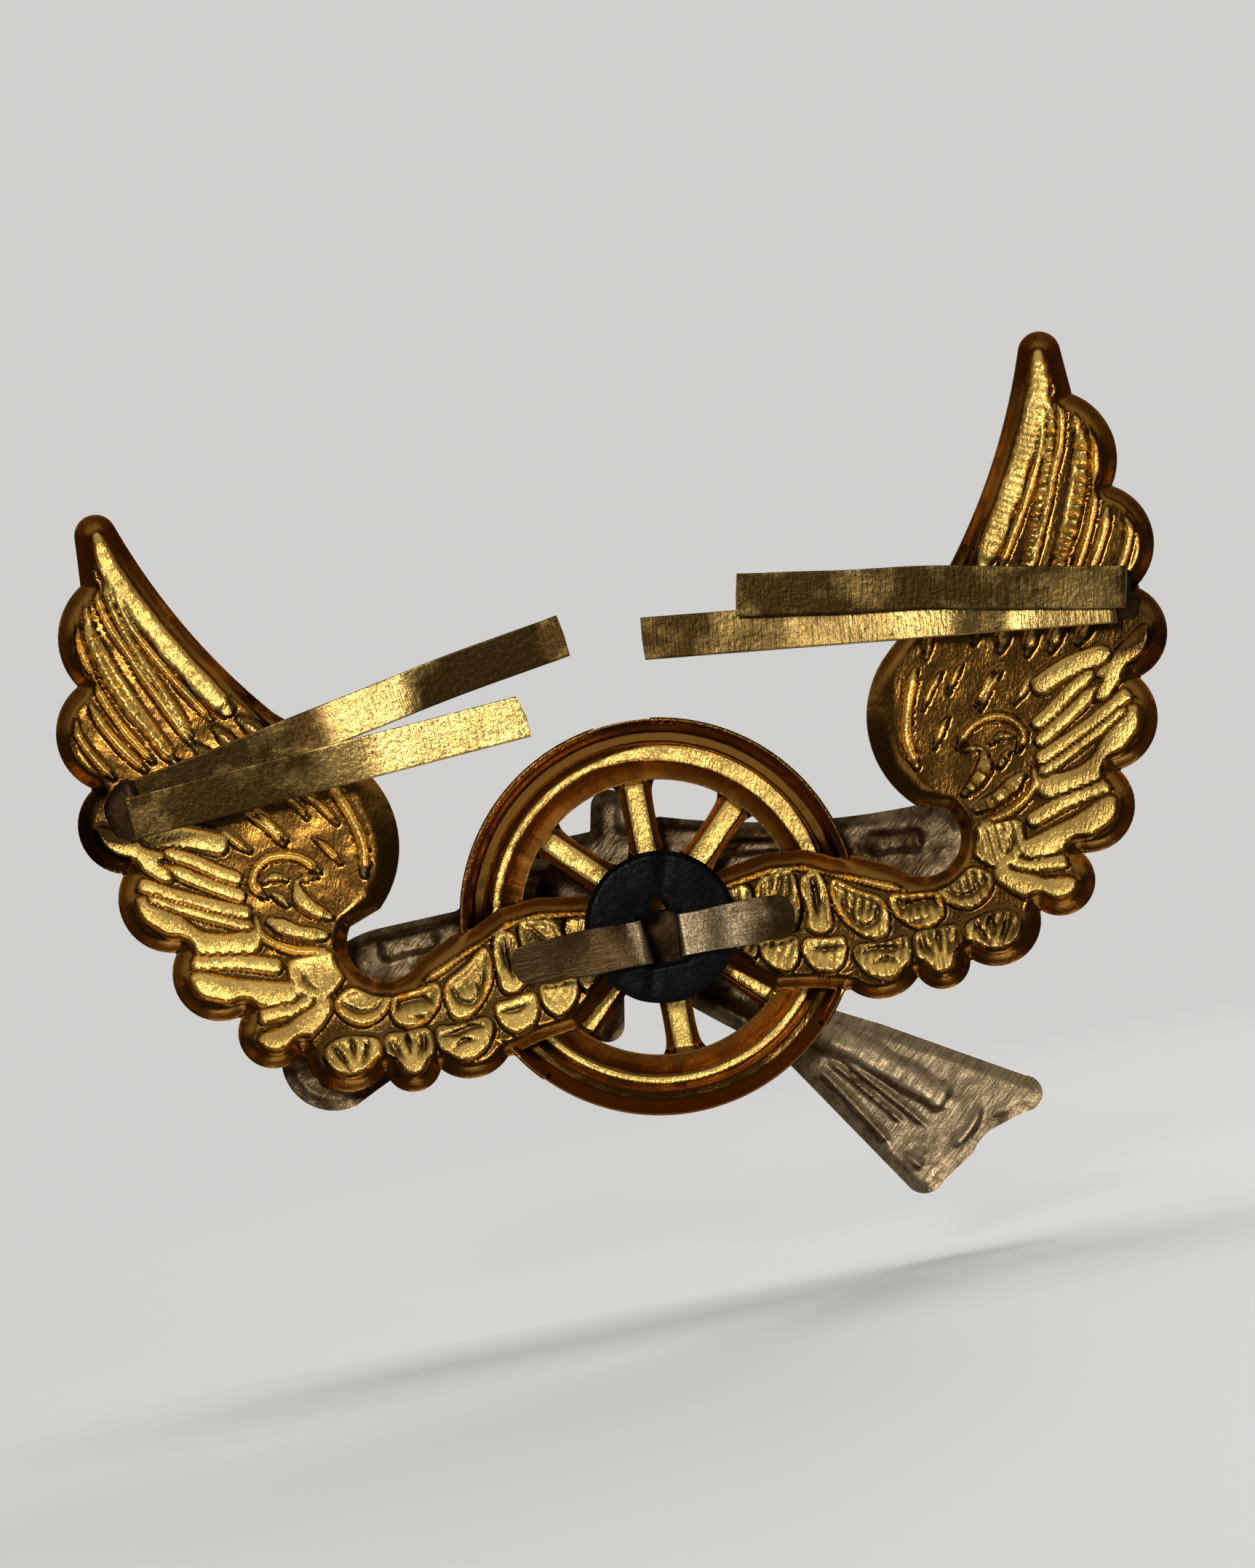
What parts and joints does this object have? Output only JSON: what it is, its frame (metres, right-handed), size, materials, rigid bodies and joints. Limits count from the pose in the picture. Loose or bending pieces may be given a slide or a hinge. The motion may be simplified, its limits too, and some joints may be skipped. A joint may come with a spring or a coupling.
{
  "type": "winged wheel aviator badge",
  "caption": "Gilt spoked wheel between two feathered wings with a silver aeroplane in front, a hub strap over a fibre washer behind, and bendable fastening tabs.",
  "frame": {"origin": "centre of the wheel on the back plane of its rim, where the cloth lies", "axes": "-Y is the display side, +Y is the fastening side, +Z points to the wing tips, -X is left seen from the display side"},
  "size_m": [0.0512, 0.0057, 0.0381],
  "materials": {
    "gilt": "worn gilding, bright on the crests and brown in the hollows",
    "tab_brass": "rolled strip with fine cross marks and tarnish",
    "nickel_silver": "dull, scratched and slightly browned",
    "fibre": "black vulcanised fibre with a slight gloss",
    "solder": "dark brazing, stained"
  },
  "bodies": {
    "badge": {"winged_wheel": "gilt", "aeroplane": "nickel_silver", "hub_washer": "fibre", "strap_fold": "nickel_silver", "strap_solder": "solder", "left_tab_fold": "tab_brass", "left_tab_solder": "solder", "right_tab_fold": "tab_brass", "right_tab_solder": "solder"},
    "strap_left": {"strap_left_leg": "nickel_silver"},
    "strap_right": {"strap_right_leg": "nickel_silver"},
    "left_over": {"left_tab_over_leg": "tab_brass"},
    "left_under": {"left_tab_under_leg": "tab_brass"},
    "right_over": {"right_tab_over_leg": "tab_brass"},
    "right_under": {"right_tab_under_leg": "tab_brass"}
  },
  "joints": [
    {"name": "right_tab_over_bend", "type": "hinge", "parent": "badge", "child": "right_over", "pos_m": [0.023, 0.00155, 0.009], "axis": [-0.0637, 0, -0.998], "range_deg": [0, 88]},
    {"name": "right_tab_under_bend", "type": "hinge", "parent": "badge", "child": "right_under", "pos_m": [0.0224, 0.001, 0.00975], "axis": [-0.1791, 0, -0.9838], "range_deg": [0, 88]},
    {"name": "left_tab_over_bend", "type": "hinge", "parent": "badge", "child": "left_over", "pos_m": [-0.0238, 0.00155, 0.01075], "axis": [-0.1767, 0, 0.9843], "range_deg": [0, 88]},
    {"name": "left_tab_under_bend", "type": "hinge", "parent": "badge", "child": "left_under", "pos_m": [-0.0232, 0.001, 0.0102], "axis": [-0.113, 0, 0.9936], "range_deg": [0, 88]},
    {"name": "strap_left_bend", "type": "hinge", "parent": "badge", "child": "strap_left", "pos_m": [-0.0007, 0.0009, -0.00098], "axis": [0, 0, -1], "range_deg": [0, 88]},
    {"name": "strap_right_bend", "type": "hinge", "parent": "badge", "child": "strap_right", "pos_m": [0.0007, 0.0009, -0.00098], "axis": [0, 0, 1], "range_deg": [0, 88]}
  ],
  "couplings": [
    {"joint": "right_tab_under_bend", "follows": "right_tab_over_bend", "ratio": 1},
    {"joint": "left_tab_under_bend", "follows": "left_tab_over_bend", "ratio": 1}
  ]
}
